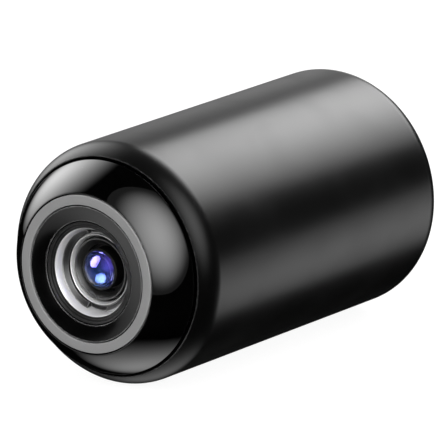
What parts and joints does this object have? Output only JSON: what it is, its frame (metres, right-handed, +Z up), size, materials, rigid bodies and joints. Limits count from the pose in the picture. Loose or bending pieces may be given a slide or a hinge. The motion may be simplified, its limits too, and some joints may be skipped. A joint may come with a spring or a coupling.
{
  "type": "dash camera",
  "caption": "Compact cylindrical dash camera with a domed bezel, recessed wide lens, rear holding face, memory card and USB-C sockets and side buttons.",
  "frame": {"origin": "centre of the flat rear face", "axes": "+Y along the cylinder's axis, out of the rear face; the lens looks along -Y; +Z up; sockets underneath (-Z), buttons on the left side (-X)"},
  "size_m": [0.028, 0.05, 0.028],
  "materials": {
    "case_satin": "satin moulded plastic, very fine grain",
    "bezel_gloss": "polished black",
    "trim_grey": "matte mid grey",
    "seal_rubber": "matte",
    "barrel_black": "black anodised, satin",
    "bare_metal": "fine turned",
    "dark_metal": "dark anodised with fine turning marks",
    "coated_glass": "polished, blue and violet coating",
    "inner_plastic": "moulded, matte",
    "chip_black": "moulded epoxy",
    "board_green": "solder resist",
    "screw_steel": "plated",
    "flex_gold": "polyimide film",
    "clear_plastic": "translucent",
    "shield_tin": "tin plated sheet",
    "battery_foil": "laminated foil",
    "card_black": "smooth moulded",
    "button_black": "satin",
    "cap_matte": "fine spark-eroded texture"
  },
  "bodies": {
    "camera": {"case_shell": "case_satin", "front_bezel": "bezel_gloss", "bezel_seal": "seal_rubber", "trim_ring": "trim_grey", "lens_hood": "bezel_gloss", "lens_barrel": "barrel_black", "bore_ring": "bare_metal", "lock_ring": "dark_metal", "retaining_ring": "bare_metal", "baffle_ring": "dark_metal", "front_lens": "coated_glass", "lens_spacer": "barrel_black", "middle_lens": "coated_glass", "rear_lens": "coated_glass", "lens_holder": "inner_plastic", "ir_cut_filter": "coated_glass", "image_sensor": "chip_black", "sensor_board": "board_green", "holder_screw_left": "screw_steel", "holder_screw_right": "screw_steel", "sensor_flex": "flex_gold", "lamp_board": "board_green", "lamp_1": "clear_plastic", "lamp_2": "clear_plastic", "lamp_3": "clear_plastic", "lamp_4": "clear_plastic", "lamp_5": "clear_plastic", "lamp_6": "clear_plastic", "inner_chassis": "inner_plastic", "main_board": "board_green", "processor_chip": "chip_black", "memory_chip": "chip_black", "radio_shield": "shield_tin", "status_lamp": "clear_plastic", "microphone": "shield_tin", "battery_cell": "battery_foil", "usb_shell": "bare_metal", "usb_tongue": "inner_plastic", "card_socket": "shield_tin", "power_switch": "shield_tin", "mode_switch": "shield_tin", "light_pipe": "clear_plastic", "rear_cap": "cap_matte", "rear_magnet": "bare_metal", "cap_screw_1": "screw_steel", "cap_screw_2": "screw_steel", "cap_screw_3": "screw_steel"},
    "power_button": {"power_button": "button_black"},
    "mode_button": {"mode_button": "button_black"},
    "memory_card": {"memory_card": "card_black"}
  },
  "joints": [
    {"name": "power_button_press", "type": "slide", "parent": "camera", "child": "power_button", "axis": [1, 0, 0], "range_m": [0, 0.0004], "stiffness_N_per_m": 500},
    {"name": "mode_button_press", "type": "slide", "parent": "camera", "child": "mode_button", "axis": [1, 0, 0], "range_m": [0, 0.0004], "stiffness_N_per_m": 500},
    {"name": "memory_card_slide", "type": "slide", "parent": "camera", "child": "memory_card", "axis": [0, 0, -1], "range_m": [-0.0008, 0.0125]}
  ]
}
